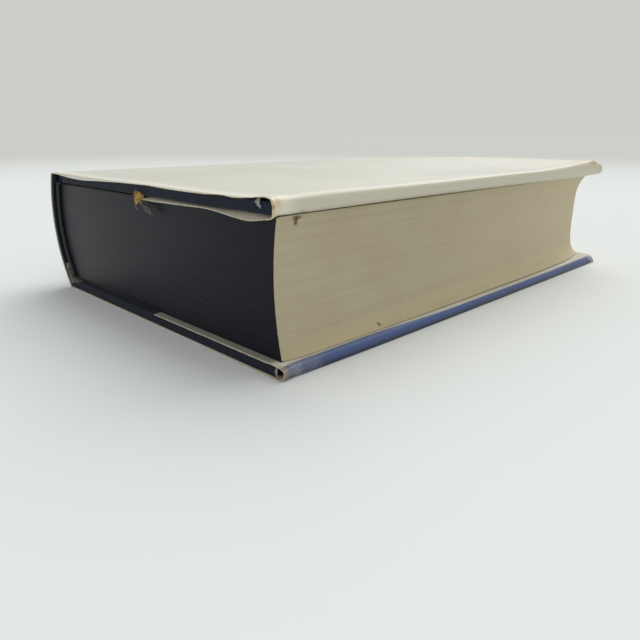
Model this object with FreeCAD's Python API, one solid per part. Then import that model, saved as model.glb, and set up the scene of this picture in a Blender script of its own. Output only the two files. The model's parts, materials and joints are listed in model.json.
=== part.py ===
import FreeCAD, Part
import math
import os

# Hardback book with its paper jacket, lying on its front cover.
# +X runs from the spine to the fore edge, +Y from the head to the tail, +Z up.
# The origin is the bottom centre of the closed book. All sizes are in millimetres.

# Overall form
overall_width = 165.6
overall_thickness = 54.0
spine_round = 7.7
spine_lean = 5.5

# Heights from head to tail: the pages, the case's square beyond them, and the jacket beyond the case
page_height = 235.0
end_square = 2.7
jacket_overhang = 0.3

# Sheet thicknesses
jacket_paper = 0.25
cloth = 0.35
board = 3.0
spine_card = 1.2
endpaper = 0.2
gauze = 0.3
lining = 0.3

# Boards and joints
joint_width = 11.0
joint_slit = 0.1
board_setback = 1.0
turn_in = 15.0
pastedown_margin = 3.0
spine_card_margin = 1.6
hinge_lift = 0.3

# Grooves pressed into the cloth along the two joints
groove_land = 0.8
groove_floor = 3.2
front_groove_depth = 0.7

# Jacket folds and flaps
fold_standoff = 2.2
flap_slack = 0.4
back_flap_width = 77.0
front_flap_width = 75.0
fold_puff = 3.4
puff_run = 105.0

# Pages
cover_gap = 0.2
hollow_back = 0.9
square_at_back = 1.35
square_at_front = 0.2
hollow_at_head = 2.4
hollow_at_tail = 7.2
tail_inset = 4.6

# Bands at the head and tail of the spine
band_tape = 0.4
band_depth = 12.0
band_bead = 1.8

case_height = page_height + 2 * end_square
jacket_height = case_height + 2 * jacket_overhang

# Levels through the back cover, which the front cover mirrors
top = overall_thickness
cloth_face = top - jacket_paper
board_face = cloth_face - cloth
board_inside = board_face - board
case_inside = board_inside - cloth
pastedown_face = case_inside - endpaper
flap_inside = pastedown_face - flap_slack
flap_face = flap_inside - jacket_paper
pages_top = flap_face - cover_gap - endpaper
pages_bottom = top - pages_top

# Places along X
fold_x = overall_width / 2
case_x = fold_x - jacket_paper - fold_standoff
board_x = case_x - cloth

# The spine's outer arc: its chord leans, and its outermost point is at -overall_width / 2
spine_chord = math.hypot(overall_thickness, spine_lean)
spine_radius = (spine_chord ** 2 / 4 + spine_round ** 2) / (2 * spine_round)
centre_x = spine_radius - overall_width / 2
centre_z = top / 2 + (spine_radius - spine_round) * spine_lean / spine_chord

# The boards start one joint's width from the back shoulder of the spine
shoulder_x = centre_x - math.sqrt(spine_radius ** 2 - (top - centre_z) ** 2)
board_start = shoulder_x + joint_width
hinge_x = board_start - board_setback

# Radii inside the spine, from the jacket in to the pages
cloth_radius = spine_radius - jacket_paper
card_radius = cloth_radius - cloth
card_inner_radius = card_radius - spine_card
case_inner_radius = card_inner_radius - cloth
lining_radius = case_inner_radius - hollow_back
band_radius = lining_radius - lining
page_radius = band_radius - band_tape
gauze_radius = page_radius + gauze

up = FreeCAD.Vector(0, 0, 1)
along = FreeCAD.Vector(0, 1, 0)


def point(x, z, y=0.0):
    return FreeCAD.Vector(x, y, z)


def line(start, end):
    return Part.makeLine(start, end)


def arc(start, through, end):
    return Part.Arc(start, through, end).toShape()


def box(x0, x1, y0, y1, z0, z1):
    return Part.makeBox(x1 - x0, y1 - y0, z1 - z0, FreeCAD.Vector(x0, y0, z0))


def slab(x0, x1, height, z0, z1):
    """A box centred on the book's length."""
    return box(x0, x1, -height / 2, height / 2, z0, z1)


def spine_x(radius, z):
    """Where an arc of the spine's family crosses a level."""
    return centre_x - math.sqrt(radius ** 2 - (z - centre_z) ** 2)


def extruded(edges, y0, y1):
    """A closed outline in the XZ plane, drawn out along the book's length."""
    face = Part.Face(Part.Wire(edges))
    solid = face.extrude(along * (y1 - y0))
    solid.translate(along * y0)
    return solid


def polyline(points):
    return [line(a, b) for a, b in zip(points, points[1:])]


def mitred(points, distance):
    """The inner corners of a bent sheet whose outer face follows the points."""
    inner = []
    for before, corner, after in zip(points, points[1:], points[2:]):
        first = (corner - before).normalize()
        second = (after - corner).normalize()
        half_turn = first.getAngle(second) / 2
        bisector = (point(-first.z, first.x) + point(-second.z, second.x)).normalize()
        inner.append(corner + bisector * (distance / math.cos(half_turn)))
    return inner


def joint_section(outer_x, inner_x, level, thickness, depth):
    """Outer and inner faces of a sheet over the back joint, from the hinge line to the spine."""
    hinge_edge = [point(hinge_x, level)]
    shoulder = [point(outer_x, level)]
    if depth > 0:
        land_x = hinge_x - groove_land
        far_x = outer_x + groove_land
        middle = (land_x + far_x) / 2
        floor = min(groove_floor, (land_x - far_x) / 2) / 2
        hinge_edge.append(point(land_x, level))
        hinge_edge.append(point(middle + floor, level - depth))
        shoulder = [point(middle - floor, level - depth), point(far_x, level)] + shoulder
    outer = hinge_edge + shoulder
    inner = [point(hinge_x, level - thickness)]
    inner += mitred(outer, thickness)
    inner.append(point(inner_x, level - thickness))
    return outer, inner


def turned_over(points):
    """The front joint's copy of a back joint's outline."""
    return [point(p.x, top - p.z) for p in points]


def spine_wrap(radius, thickness, height, level, back_depth=0.0, front_depth=0.0):
    """A sheet round the spine and over both joints, ending on the hinge lines."""
    inner = radius - thickness
    low = top - level
    back_outer, back_inner = joint_section(
        spine_x(radius, level), spine_x(inner, level - thickness), level, thickness, back_depth)
    front_outer, front_inner = joint_section(
        spine_x(radius, low), spine_x(inner, low + thickness), level, thickness, front_depth)
    front_outer = turned_over(front_outer)
    front_inner = turned_over(front_inner)
    outline = polyline(back_outer)
    outline.append(arc(back_outer[-1], point(centre_x - radius, centre_z), front_outer[-1]))
    outline += polyline(front_outer[::-1] + front_inner)
    outline.append(arc(front_inner[-1], point(centre_x - inner, centre_z), back_inner[-1]))
    outline += polyline(back_inner[::-1] + [back_outer[0]])
    return extruded(outline, -height / 2, height / 2)


def spine_strip(outer, inner, z0, z1, y0, y1):
    """A curved strip of the spine's family between two radii and two levels."""
    outline = [
        arc(point(spine_x(outer, z1), z1), point(centre_x - outer, centre_z), point(spine_x(outer, z0), z0)),
        line(point(spine_x(outer, z0), z0), point(spine_x(inner, z0), z0)),
        arc(point(spine_x(inner, z0), z0), point(centre_x - inner, centre_z), point(spine_x(inner, z1), z1)),
        line(point(spine_x(inner, z1), z1), point(spine_x(outer, z1), z1)),
    ]
    return extruded(outline, y0, y1)


def to_front(shape):
    """The front cover's copy of a back cover shape."""
    return shape.mirror(point(0, top / 2), up)


# Pages: one block, rounded at the spine and hollow at the fore edge, deeper at the tail


def page_outline(y, inset, hollow):
    back_x = case_x - square_at_back - inset
    front_x = case_x - square_at_front - inset
    middle = (pages_top + pages_bottom) / 2
    spine_top = point(spine_x(page_radius, pages_top), pages_top, y)
    spine_low = point(spine_x(page_radius, pages_bottom), pages_bottom, y)
    fore_top = point(back_x, pages_top, y)
    fore_low = point(front_x, pages_bottom, y)
    return Part.Wire([
        line(spine_top, fore_top),
        arc(fore_top, point((back_x + front_x) / 2 - hollow, middle, y), fore_low),
        line(fore_low, spine_low),
        arc(spine_low, point(centre_x - page_radius, centre_z, y), spine_top),
    ])


def text_block():
    head = page_outline(-page_height / 2, 0.0, hollow_at_head)
    tail = page_outline(page_height / 2, tail_inset, hollow_at_tail)
    return Part.makeLoft([head, tail], True, True)


def free_endpaper(square, z0):
    """A leaf as large as the pages, cut to the block's fore edge."""
    spine_side = max(spine_x(page_radius, z0), spine_x(page_radius, z0 + endpaper))
    fore_side = case_x - square
    half = page_height / 2
    corners = [
        point(spine_side, z0, -half),
        point(fore_side, z0, -half),
        point(fore_side - tail_inset, z0, half),
        point(spine_side, z0, half),
    ]
    return Part.Face(Part.Wire(polyline(corners + corners[:1]))).extrude(up * endpaper)


# Spine linings, glued to the pages' rounded back


def spine_gauze():
    """Open cloth over the spine, whose flanges run into both joints."""
    level = pages_top + endpaper + gauze
    return spine_wrap(gauze_radius, gauze, page_height - 2 * band_depth - 1.0, level)


def spine_lining():
    return spine_strip(lining_radius, band_radius, pages_bottom, pages_top, -page_height / 2, page_height / 2)


def head_band():
    """A tape glued to the spine's end, with a round bead standing over the pages' edge."""
    end = -page_height / 2
    tape = spine_strip(band_radius, page_radius, pages_bottom, pages_top, end - band_bead / 2, end + band_depth)
    start = point(spine_x(page_radius, pages_top), pages_top)
    finish = point(spine_x(page_radius, pages_bottom), pages_bottom)
    turn = math.degrees((start - point(centre_x, centre_z)).getAngle(finish - point(centre_x, centre_z)))
    radial = (start - point(centre_x, centre_z)).normalize()
    bead_centre = point(centre_x, centre_z, end - band_bead / 2) + radial * (page_radius - band_bead / 4)
    disc = Part.Face(Part.Wire(Part.makeCircle(band_bead / 2, bead_centre, radial.cross(along))))
    bead = disc.revolve(point(centre_x, centre_z), along, -turn)
    return tape.fuse(bead).removeSplitter()


def tail_band():
    return head_band().mirror(FreeCAD.Vector(0, 0, 0), along)


# Case: card strip, two boards, and the cloth that covers and joins them


def spine_stiffener():
    half = case_height / 2 - cloth
    return spine_strip(card_radius, card_inner_radius, spine_card_margin, top - spine_card_margin, -half, half)


def spine_cloth():
    """Cloth round the spine, folded over the card's ends and a turn-in's depth inside."""
    back_depth = cloth_face - cloth - (pages_top + endpaper + gauze)
    shape = spine_wrap(cloth_radius, cloth, case_height, cloth_face, back_depth, front_groove_depth)
    half = case_height / 2
    low = spine_card_margin
    high = top - spine_card_margin
    for end in (-1, 1):
        ends = sorted((end * half, end * (half - cloth)))
        strip = sorted((end * half, end * (half - turn_in)))
        shape = shape.fuse(spine_strip(card_radius + cloth / 2, case_inner_radius, low, high, *ends))
        shape = shape.fuse(spine_strip(card_inner_radius, case_inner_radius, low, high, *strip))
    return shape.removeSplitter()


def cover_board():
    return slab(board_start, board_x, case_height - 2 * cloth, board_inside, board_face)


def cover_cloth():
    """Cloth over the board's face, turned in over its head, tail and fore edge."""
    start = hinge_x + joint_slit
    shape = slab(start, case_x, case_height, case_inside, cloth_face)
    shape = shape.cut(slab(start - 1, board_x, case_height - 2 * cloth, board_inside, board_face))
    return shape.cut(slab(start - 1, case_x - turn_in, case_height - 2 * turn_in, case_inside - 1, board_inside))


def pastedown():
    """Endpaper glued to the board's inside, stepping up over the cloth's turn-ins."""
    start = board_start
    window_x = case_x - turn_in
    window = case_height - 2 * turn_in
    shape = slab(start, case_x - pastedown_margin, page_height, pastedown_face, case_inside)
    shape = shape.fuse(slab(start, window_x, window, pastedown_face, board_inside))
    hollow = slab(start - 1, window_x - endpaper, window - 2 * endpaper, pastedown_face - 1, board_inside - endpaper)
    return shape.cut(hollow).removeSplitter()


# Jacket: one sheet of paper round the whole case, with a flap folded in at each cover


def jacket_outline(y, puff, flap_width):
    """A panel, its fore-edge fold and its flap, with the fold standing proud by puff."""
    bend = (top - flap_face) / 2
    bend_x = fold_x - bend
    crest = top + puff
    middle = (crest + flap_face) / 2
    start = hinge_x + joint_slit
    flap_end = fold_x - flap_width
    rise_x = bend_x - puff_run
    under = crest - jacket_paper
    return Part.Wire([
        line(point(start, top, y), point(rise_x, top, y)),
        line(point(rise_x, top, y), point(bend_x, crest, y)),
        arc(point(bend_x, crest, y), point(fold_x, middle, y), point(bend_x, flap_face, y)),
        line(point(bend_x, flap_face, y), point(flap_end, flap_face, y)),
        line(point(flap_end, flap_face, y), point(flap_end, flap_inside, y)),
        line(point(flap_end, flap_inside, y), point(bend_x, flap_inside, y)),
        arc(point(bend_x, flap_inside, y), point(fold_x - jacket_paper, middle, y), point(bend_x, under, y)),
        line(point(bend_x, under, y), point(rise_x, top - jacket_paper, y)),
        line(point(rise_x, top - jacket_paper, y), point(start, top - jacket_paper, y)),
        line(point(start, top - jacket_paper, y), point(start, top, y)),
    ])


def jacket_panel(puff_at_tail, flap_width):
    half = jacket_height / 2
    head = jacket_outline(-half, 0.0, flap_width)
    tail = jacket_outline(half, puff_at_tail, flap_width)
    return Part.makeLoft([head, tail], True, True)


def jacket_spine_panel():
    return spine_wrap(spine_radius, jacket_paper, jacket_height, top)


parts = {
    "text_block": text_block(),
    "back_free_endpaper": free_endpaper(square_at_back, pages_top),
    "front_free_endpaper": free_endpaper(square_at_front, pages_bottom - endpaper),
    "spine_gauze": spine_gauze(),
    "spine_lining": spine_lining(),
    "head_band": head_band(),
    "tail_band": tail_band(),
    "spine_stiffener": spine_stiffener(),
    "spine_cloth": spine_cloth(),
    "back_board": cover_board(),
    "back_cover_cloth": cover_cloth(),
    "back_pastedown": pastedown(),
    "front_board": to_front(cover_board()),
    "front_cover_cloth": to_front(cover_cloth()),
    "front_pastedown": to_front(pastedown()),
    "jacket_spine_panel": jacket_spine_panel(),
    "jacket_back_panel": jacket_panel(fold_puff, back_flap_width),
    "jacket_front_panel": to_front(jacket_panel(0.0, front_flap_width)),
}

os.makedirs("parts", exist_ok=True)
for name, shape in parts.items():
    shape.exportStep("parts/" + name + ".step")
    extent = shape.BoundBox
    print(name, shape.isValid(), len(shape.Solids), round(shape.Volume, 1),
          [round(v, 2) for v in (extent.XMin, extent.XMax, extent.YMin, extent.YMax, extent.ZMin, extent.ZMax)])
print("hinge axes at x", round(hinge_x, 4), "and z", round(top + hinge_lift, 4), round(-hinge_lift, 4))
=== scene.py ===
import json
import math
import bmesh
import bpy
import numpy as np
from mathutils import Euler, Matrix, Vector


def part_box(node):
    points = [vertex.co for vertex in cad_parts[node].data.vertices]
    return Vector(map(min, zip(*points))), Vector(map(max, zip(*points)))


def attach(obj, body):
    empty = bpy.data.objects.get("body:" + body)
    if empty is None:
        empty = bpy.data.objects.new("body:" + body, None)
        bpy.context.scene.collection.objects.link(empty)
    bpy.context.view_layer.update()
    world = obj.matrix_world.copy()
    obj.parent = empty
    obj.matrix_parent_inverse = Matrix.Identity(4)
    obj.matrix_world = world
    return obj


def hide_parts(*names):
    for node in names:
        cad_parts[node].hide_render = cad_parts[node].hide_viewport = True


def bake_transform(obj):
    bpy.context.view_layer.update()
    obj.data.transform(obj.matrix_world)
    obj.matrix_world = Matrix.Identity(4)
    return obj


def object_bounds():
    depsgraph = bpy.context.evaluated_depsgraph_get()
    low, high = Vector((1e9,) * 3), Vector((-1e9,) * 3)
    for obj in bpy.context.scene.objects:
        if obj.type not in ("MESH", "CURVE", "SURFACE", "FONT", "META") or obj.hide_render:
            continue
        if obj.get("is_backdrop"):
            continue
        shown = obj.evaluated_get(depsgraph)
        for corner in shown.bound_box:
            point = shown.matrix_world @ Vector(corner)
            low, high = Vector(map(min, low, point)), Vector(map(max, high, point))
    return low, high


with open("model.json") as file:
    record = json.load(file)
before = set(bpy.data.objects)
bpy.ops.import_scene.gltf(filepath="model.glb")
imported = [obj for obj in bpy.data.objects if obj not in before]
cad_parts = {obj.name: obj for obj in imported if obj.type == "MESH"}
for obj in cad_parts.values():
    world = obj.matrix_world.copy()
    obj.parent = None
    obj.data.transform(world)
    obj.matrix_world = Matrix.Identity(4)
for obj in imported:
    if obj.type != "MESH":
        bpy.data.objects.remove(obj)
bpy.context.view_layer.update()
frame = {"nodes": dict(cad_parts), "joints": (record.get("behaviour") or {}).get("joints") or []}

# The room: a pale floor, a soft sky, two soft lamps, and a camera low beside the head's fore-edge corner.
# Its lens and place are those that fit the book's outline in the photograph.
camera_place = Vector((0.203666, -0.223804, 0.072646))
camera_heading = 45.0509
camera_dip = 18.4583
camera_roll = 0.1545
camera_lens = 31.86

camera = bpy.data.objects.new("camera", bpy.data.cameras.new("camera"))
bpy.context.scene.collection.objects.link(camera)
bpy.context.scene.camera = camera
camera.data.lens = camera_lens
camera.data.sensor_width = 36
camera.data.clip_start = 0.005
camera.location = camera_place
camera.rotation_euler = (
    Euler((math.radians(90 - camera_dip), 0, math.radians(camera_heading))).to_matrix()
    @ Matrix.Rotation(math.radians(camera_roll), 3, "Z")
).to_euler()


def fill(tree, socket, value):
    """Gives a socket a link or a constant."""
    if isinstance(value, bpy.types.NodeSocket):
        tree.links.new(value, socket)
    else:
        socket.default_value = value


def add(tree, kind, sockets=(), **settings):
    """A shader node with its settings made and its sockets filled."""
    made = tree.nodes.new("ShaderNode" + kind)
    for key, value in settings.items():
        setattr(made, key, value)
    for key, value in dict(sockets).items():
        fill(tree, made.inputs[key], value)
    return made


def plain_material(name):
    """A new material, its node tree and its shader."""
    made = bpy.data.materials.new(name)
    made.use_nodes = True
    return made, made.node_tree, made.node_tree.nodes["Principled BSDF"]


def srgb(red, green, blue):
    """A colour given as 0 to 255 on the screen, as a linear one."""
    def linear(c):
        c /= 255
        return c / 12.92 if c <= 0.04045 else ((c + 0.055) / 1.055) ** 2.4
    return (linear(red), linear(green), linear(blue), 1.0)


def mix_colour(tree, factor, a, b):
    """One colour laid over another by a mask. The colour sockets of a Mix node are known by their numbers."""
    return add(tree, "Mix", {0: factor, 6: a, 7: b}, data_type="RGBA").outputs[2]


def math_node(tree, operation, *values):
    """The result of one sum or comparison."""
    return add(tree, "Math", dict(enumerate(values)), operation=operation).outputs[0]


def ramp(tree, value, low, high, start=0.0, end=1.0):
    """A smooth step from start to end as the value goes from low to high."""
    made = add(tree, "MapRange", {"Value": value, "From Min": low, "From Max": high,
                                  "To Min": start, "To Max": end}, interpolation_type="SMOOTHSTEP")
    return made.outputs["Result"]


def dress(tree, shader, colour, roughness, height=None, strength=0.0, distance=0.0):
    """Gives a material its colour, its roughness and, from a height, its relief."""
    fill(tree, shader.inputs["Base Color"], colour)
    fill(tree, shader.inputs["Roughness"], roughness)
    if height is not None:
        bump = add(tree, "Bump", {"Height": height, "Strength": strength, "Distance": distance})
        fill(tree, shader.inputs["Normal"], bump.outputs[0])


floor_size = 16
floor_fades_from, floor_fades_to = 0.5, 1.8
floor_pale = srgb(231, 234, 231)
backdrop_grey = srgb(203, 204, 198)
sky_on_the_book = 0.52
sky_behind_it = 1.02

bpy.ops.object.select_all(action="DESELECT")
bpy.ops.mesh.primitive_plane_add(size=floor_size)
floor = bpy.context.object
floor.name = "floor"
floor_material, tree, shader = plain_material("floor_paint")
distance = add(tree, "VectorMath", {0: add(tree, "TexCoord").outputs["Object"]}, operation="LENGTH")
far = ramp(tree, distance.outputs["Value"], floor_fades_from, floor_fades_to)
dress(tree, shader, mix_colour(tree, far, floor_pale, backdrop_grey), 0.9)
shader.inputs["Specular IOR Level"].default_value = 0.05
floor.data.materials.append(floor_material)
floor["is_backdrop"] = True

world = bpy.data.worlds.new("soft_sky")
bpy.context.scene.world = world
world.use_nodes = True
tree = world.node_tree
sky = tree.nodes["Background"]
rays = add(tree, "LightPath")
seen = math_node(tree, "MAXIMUM", rays.outputs["Is Camera Ray"], rays.outputs["Is Glossy Ray"])
seen = math_node(tree, "MAXIMUM", seen, rays.outputs["Is Transmission Ray"])
sky_strength = add(tree, "Mix", {"Factor": seen, "A": sky_on_the_book, "B": sky_behind_it})
fill(tree, sky.inputs["Strength"], sky_strength.outputs["Result"])
fill(tree, sky.inputs["Color"], mix_colour(tree, seen, (0.975, 0.99, 1.0, 1.0), backdrop_grey))


def soft_sun(name, comes_from, width, strength):
    """A broad even light from one side of the sky."""
    light = bpy.data.lights.new(name, "SUN")
    light.angle = math.radians(width)
    light.energy = strength
    made = bpy.data.objects.new(name, light)
    bpy.context.scene.collection.objects.link(made)
    made.rotation_euler = Vector(comes_from).to_track_quat("Z", "Y").to_euler()


soft_sun("window_light", (-0.42, 1.0, 1.25), 60, 1.60)
soft_sun("room_light", (0.65, 0.3, 1.15), 80, 0.38)

bpy.context.scene.view_settings.view_transform = "Standard"


# The pages: some hundreds of leaves trimmed together, rounded over the spine and hollow at the fore edge.
# The head is stained dark, and each few leaves stand a little proud of the next.
block_low, block_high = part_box("text_block")
half_page = block_high.y
leaf_groups = 200
leaf_offset = 0.000015
largest_offset = 0.00005
stain_depth = 0.0005
head_hollow = 0.0024
fore_top = 0.079
fore_foot = 0.08015
flare_height = 0.0011
foot_sink = 0.0005
sink_from, sink_to = -0.045, 0.025
tail_inset = 0.0046
page_slices = (44, 60)
leaf_spread = [0.2, 0.6, 1, 0.6, 0.2]

book_thickness = 0.054
spine_rise = 0.0077
spine_lean = 0.0055
half_width = 0.0828
chord = math.hypot(book_thickness, spine_lean)
spine_radius = (chord ** 2 / 4 + spine_rise ** 2) / (2 * spine_rise)
arc_x = spine_radius - half_width
arc_z = book_thickness / 2 + (spine_radius - spine_rise) * spine_lean / chord
leaf_radius = arc_x - block_low.x


def spine_at(radius, z):
    """Where an arc of the spine's family lies at a level."""
    return arc_x - np.sqrt(radius ** 2 - (z - arc_z) ** 2)


def points_of(piece):
    """The piece's points as rows of numbers."""
    flat = np.zeros(len(piece.data.vertices) * 3)
    piece.data.vertices.foreach_get("co", flat)
    return flat.reshape(-1, 3)


def place_points(piece, points):
    """Gives the piece's points new places."""
    piece.data.vertices.foreach_set("co", np.asarray(points, float).ravel())
    piece.data.update()


def cut_edges(piece, axis, cuts):
    """Cuts a box into slices across one axis."""
    bpy.ops.object.mode_set(mode="EDIT")
    bpy.ops.mesh.select_mode(type="EDGE")
    bpy.ops.mesh.select_all(action="DESELECT")
    shape = bmesh.from_edit_mesh(piece.data)
    for edge in shape.edges:
        step = edge.verts[1].co - edge.verts[0].co
        edge.select = abs(step[axis]) > 0.9 * step.length
    bmesh.update_edit_mesh(piece.data)
    bpy.ops.mesh.subdivide(number_cuts=cuts)
    bpy.ops.object.mode_set(mode="OBJECT")


def new_box(name, cuts):
    """A unit box at the origin, sliced along X, Y and Z."""
    bpy.ops.object.select_all(action="DESELECT")
    bpy.ops.mesh.primitive_cube_add(size=1)
    made = bpy.context.object
    made.name = name
    for axis, count in enumerate(cuts):
        cut_edges(made, axis, count)
    return made


def through(values, places, heights):
    """A smooth curve through a few chosen points."""
    places, heights = np.asarray(places, float), np.asarray(heights, float)
    slopes = np.gradient(heights, places)
    left = np.clip(np.searchsorted(places, values) - 1, 0, len(places) - 2)
    step = places[left + 1] - places[left]
    on = np.clip((values - places[left]) / step, 0, 1)
    back = 1 - on
    return (heights[left] * back ** 2 * (1 + 2 * on) + heights[left + 1] * on ** 2 * (1 + 2 * back)
            + step * on * back * (slopes[left] * back - slopes[left + 1] * on))


def smooth_step(values, low, high):
    """Rises smoothly from 0 to 1 between two places."""
    share = np.clip((values - low) / (high - low), 0, 1)
    return share ** 2 * (3 - 2 * share)


def foot_reach(y):
    """How far the lowest leaves' edge lies from the spine side, along the book."""
    return through(y, [-0.1175, -0.112, -0.103, -0.085, -0.060, -0.028, 0.015, 0.065, 0.100, 0.1175],
                   [0.0801, 0.0809, 0.0814, 0.0816, 0.0820, 0.0822, 0.0820, 0.0818, 0.0800, 0.0768])


def settled(x):
    """How far the lowest leaves sink towards the front board, clear of the joint."""
    return foot_sink * smooth_step(x, sink_from, sink_to)


text_block = new_box("pages", (*page_slices, leaf_groups - 1))
unit = points_of(text_block) + 0.5
u, v, w = unit.T
z = block_low.z + w * (block_high.z - block_low.z)
layer = np.rint(w * leaf_groups).astype(int)
steps = np.random.default_rng(11)
head_steps = np.clip(steps.normal(0, leaf_offset, leaf_groups + 1), -largest_offset, largest_offset)
fore_steps = steps.normal(0, leaf_offset, leaf_groups + len(leaf_spread))
fore_steps = np.convolve(fore_steps, leaf_spread, mode="valid")
fore_steps = np.clip(fore_steps, -largest_offset, largest_offset)
head_x = fore_top * w + fore_foot * (1 - w) - head_hollow * (1 - (2 * w - 1) ** 2)
tail_x = through(z, [0.0052, 0.0067, 0.0090, 0.0136, 0.018, 0.027, 0.037, 0.0415, 0.0438, 0.0461, 0.0488],
                 [0.0755, 0.0739, 0.0727, 0.0717, 0.0713, 0.0712, 0.0713, 0.0718, 0.0725, 0.0736, 0.0752])
fore_x = head_x + (tail_x - head_x) * v
foot_x = fore_foot - tail_inset * v
flared = (foot_reach((2 * v - 1) * half_page) - foot_x) * np.exp(-(z - block_low.z) / flare_height)
fore_x = fore_x + flared + fore_steps[layer] * (u > 0.999)
spine_x = spine_at(leaf_radius, z)
x = spine_x + u * (fore_x - spine_x)
y = (2 * v - 1) * half_page
on_head = v < 0.001
on_tail = v > 0.999
y = y + np.where(on_head | on_tail, head_steps[layer], 0)
z = z - settled(x) * (1 - w) ** 6
place_points(text_block, np.stack([x, y, z], axis=1))


def group(name, wanted, given):
    """A node group with named inputs and outputs, and its two end nodes."""
    made = bpy.data.node_groups.new(name, "ShaderNodeTree")
    kinds = {"vector": "NodeSocketVector", "value": "NodeSocketFloat"}
    for label, kind, default in wanted:
        socket = made.interface.new_socket(label, in_out="INPUT", socket_type=kinds[kind])
        socket.default_value = default
    for label, kind in given:
        made.interface.new_socket(label, in_out="OUTPUT", socket_type=kinds[kind])
    return made, made.nodes.new("NodeGroupInput"), made.nodes.new("NodeGroupOutput")


def use(tree, made, sockets=()):
    """A group placed in a material with its own values."""
    return add(tree, "Group", sockets, node_tree=made)


def toned(tree, value, low, high, base, tone, most=1.0):
    """Lays a tone over a base, up to a share, as a value goes from low to high."""
    return mix_colour(tree, ramp(tree, value, low, high, 0.0, most), base, tone)


def noise(tree, place, scale, detail=3.0, roughness=0.55, stretch=(1, 1, 1)):
    """Cloudy noise over a place, stretched along its axes."""
    mapped = add(tree, "Mapping", {"Vector": place, "Scale": stretch})
    made = add(tree, "TexNoise", {"Vector": mapped.outputs[0], "Scale": scale,
                                  "Detail": detail, "Roughness": roughness})
    return made.outputs["Fac"]


# Paper fibre, used by every sheet of paper and board: a soft cloud and a fine tooth
fibre, ends_in, ends_out = group(
    "paper_fibre",
    [("Place", "vector", (0, 0, 0)), ("Tooth", "value", 2600.0), ("Cloud", "value", 60.0)],
    [("Shade", "value"), ("Height", "value")],
)
place, tooth, cloud = (ends_in.outputs[label] for label in ("Place", "Tooth", "Cloud"))
fine = add(fibre, "TexNoise", {"Vector": place, "Scale": tooth, "Detail": 3.0})
broad = add(fibre, "TexNoise", {"Vector": place, "Scale": cloud, "Detail": 4.0})
shade = math_node(fibre, "MULTIPLY", broad.outputs["Fac"], 0.65)
shade = math_node(fibre, "MULTIPLY_ADD", fine.outputs["Fac"], 0.35, shade)
fibre.links.new(shade, ends_out.inputs["Shade"])
fibre.links.new(fine.outputs["Fac"], ends_out.inputs["Height"])

# A round patch with a ragged edge, for specks, stains and rubbed places
patch, ends_in, ends_out = group(
    "patch",
    [("Place", "vector", (0, 0, 0)), ("Centre", "vector", (0, 0, 0)), ("Reach", "vector", (0.01, 0.01, 0.01)),
     ("Ragged", "value", 0.5), ("Grain", "value", 300.0), ("Softness", "value", 0.45)],
    [("Mask", "value")],
)
place = ends_in.outputs["Place"]
gap = add(patch, "VectorMath", {0: place, 1: ends_in.outputs["Centre"]}, operation="SUBTRACT")
share = add(patch, "VectorMath", {0: gap.outputs[0], 1: ends_in.outputs["Reach"]}, operation="DIVIDE")
span = add(patch, "VectorMath", {0: share.outputs[0]}, operation="LENGTH")
rag = add(patch, "TexNoise", {"Vector": place, "Scale": ends_in.outputs["Grain"], "Detail": 4.0})
rag = math_node(patch, "SUBTRACT", rag.outputs["Fac"], 0.5)
rag = math_node(patch, "MULTIPLY", rag, ends_in.outputs["Ragged"])
reach = math_node(patch, "MULTIPLY_ADD", rag, 3.0, span.outputs["Value"])
core = math_node(patch, "SUBTRACT", 1.0, ends_in.outputs["Softness"])
patch.links.new(ramp(patch, reach, 1.0, core), ends_out.inputs["Mask"])

# Leaf edges seen side on: streaks that run along the leaves, fine ones and broad ones
leaf_lines, ends_in, ends_out = group(
    "leaf_lines",
    [("Place", "vector", (0, 0, 0))],
    [("Leaf", "value"), ("Gathering", "value"), ("Height", "value")],
)
leaf = noise(leaf_lines, ends_in.outputs["Place"], 1.0, 2.0, 0.7, (9, 9, 5200))
gathering = noise(leaf_lines, ends_in.outputs["Place"], 1.0, 3.0, 0.6, (3, 3, 620))
both = math_node(leaf_lines, "MULTIPLY_ADD", gathering, 0.8, leaf)
for label, value in (("Leaf", leaf), ("Gathering", gathering), ("Height", both)):
    leaf_lines.links.new(value, ends_out.inputs[label])

pages_material, tree, shader = plain_material("pages_stained_at_the_head")
place = add(tree, "TexCoord").outputs["Object"]
xyz = add(tree, "SeparateXYZ", {0: place})
lines = use(tree, leaf_lines, {"Place": place})
paper = use(tree, fibre, {"Place": place, "Tooth": 1800.0, "Cloud": 40.0})
bare = toned(tree, lines.outputs["Leaf"], 0.30, 0.70, srgb(187, 177, 149), srgb(192, 183, 156))
bare = toned(tree, lines.outputs["Gathering"], 0.54, 0.36, bare, srgb(160, 147, 117), 0.14)
bare = toned(tree, paper.outputs["Shade"], 0.55, 0.40, bare, srgb(168, 150, 114), 0.20)
bare = toned(tree, xyz.outputs["Z"], 0.013, 0.005, bare, srgb(196, 176, 132), 0.35)
# Painted light: the unstained edge is made lighter towards the tail, where more light falls on it.
bare = toned(tree, xyz.outputs["Y"], -0.07, 0.11, bare, srgb(210, 199, 169), 0.75)
spots = [((0.0790, -0.1090, 0.0482), (0.0030, 0.0026, 0.0010), 0.35),
         ((0.0790, -0.1092, 0.0470), (0.0030, 0.0011, 0.0019), 0.3),
         ((0.0790, -0.1187, 0.0413), (0.0030, 0.0006, 0.0004), 0.3),
         ((0.0790, -0.0700, 0.0056), (0.0040, 0.0012, 0.0009), 0.3)]
for centre, size, ragged in spots:
    mark = use(tree, patch, {"Place": place, "Centre": centre, "Reach": size,
                             "Ragged": ragged, "Grain": 900.0, "Softness": 0.7})
    bare = mix_colour(tree, math_node(tree, "MULTIPLY", mark.outputs["Mask"], 0.85), bare, srgb(100, 76, 46))
ink_and_sheen = toned(tree, lines.outputs["Leaf"], 0.30, 0.70, srgb(8, 8, 19), srgb(18, 18, 34))
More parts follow.
